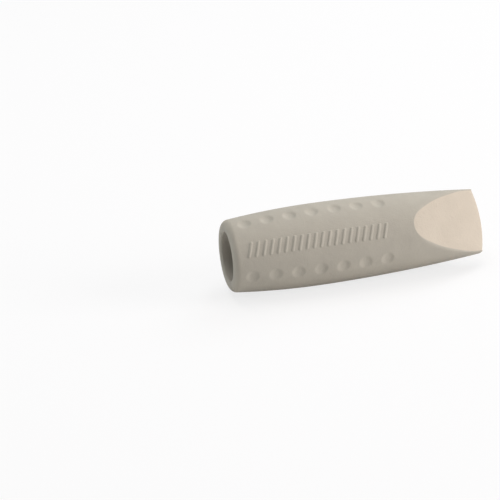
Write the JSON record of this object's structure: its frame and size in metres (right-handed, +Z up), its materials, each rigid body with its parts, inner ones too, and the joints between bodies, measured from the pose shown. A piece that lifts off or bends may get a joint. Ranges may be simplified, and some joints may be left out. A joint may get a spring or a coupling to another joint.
{
  "type": "eraser topper",
  "caption": "Round barrel-shaped rubber eraser topper with a press-on socket, rows of grip dimples and a pale chisel eraser tip held in a grey sleeve.",
  "frame": {"origin": "centre of the socket's mouth, on the barrel's axis", "axes": "+X along the barrel from the mouth to the chisel edge, +Z up as it lies in the picture, with the front flat facing -Y and 30 degrees up"},
  "size_m": [0.0377, 0.0116, 0.0116],
  "materials": {
    "sleeve_rubber": "matte warm grey moulded rubber",
    "eraser_rubber": "matte cream eraser"
  },
  "bodies": {
    "root": {"grip_sleeve": "sleeve_rubber", "eraser_core": "eraser_rubber"}
  },
  "joints": []
}
